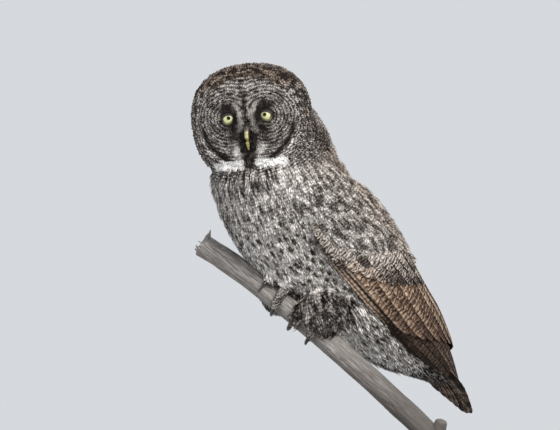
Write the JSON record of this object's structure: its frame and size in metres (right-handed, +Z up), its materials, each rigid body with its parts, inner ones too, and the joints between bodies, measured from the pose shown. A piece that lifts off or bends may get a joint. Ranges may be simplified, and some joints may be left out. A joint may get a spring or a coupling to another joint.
{
  "type": "great grey owl model",
  "caption": "Life-size still model of a great grey owl perched on a cut length of dead branch, held by a flat base and one short rod.",
  "frame": {"origin": "middle of the display base's underside", "axes": "+Z up, the picture's view looks along +Y, and +X is to the right in it"},
  "size_m": [0.405, 0.3393, 0.6195],
  "materials": {
    "plumage": "soft grey feathers, mottled and barred with brown and white",
    "face_plumage": "fine grey face feathers with darker rings",
    "iris": "glossy yellow eye with a black pupil",
    "bill_horn": "smooth pale yellow horn",
    "talon_horn": "smooth black horn",
    "bark": "weathered grey bark",
    "base_paint": "satin black paint",
    "steel": "brushed"
  },
  "bodies": {
    "root": {"head": "face_plumage", "eye_left": "iris", "eye_right": "iris", "bill_upper": "bill_horn", "bill_lower": "bill_horn", "neck": "plumage", "torso": "plumage", "tail": "plumage", "wing_left": "plumage", "wing_right": "plumage", "leg_left": "plumage", "leg_right": "plumage", "foot_left": "plumage", "foot_right": "plumage", "talon_left_inner_front": "talon_horn", "talon_left_outer_front": "talon_horn", "talon_left_inner_rear": "talon_horn", "talon_left_outer_rear": "talon_horn", "talon_right_inner_front": "talon_horn", "talon_right_outer_front": "talon_horn", "talon_right_inner_rear": "talon_horn", "talon_right_outer_rear": "talon_horn", "perch_branch": "bark", "stand_base": "base_paint", "stand_rod": "steel"}
  },
  "joints": []
}
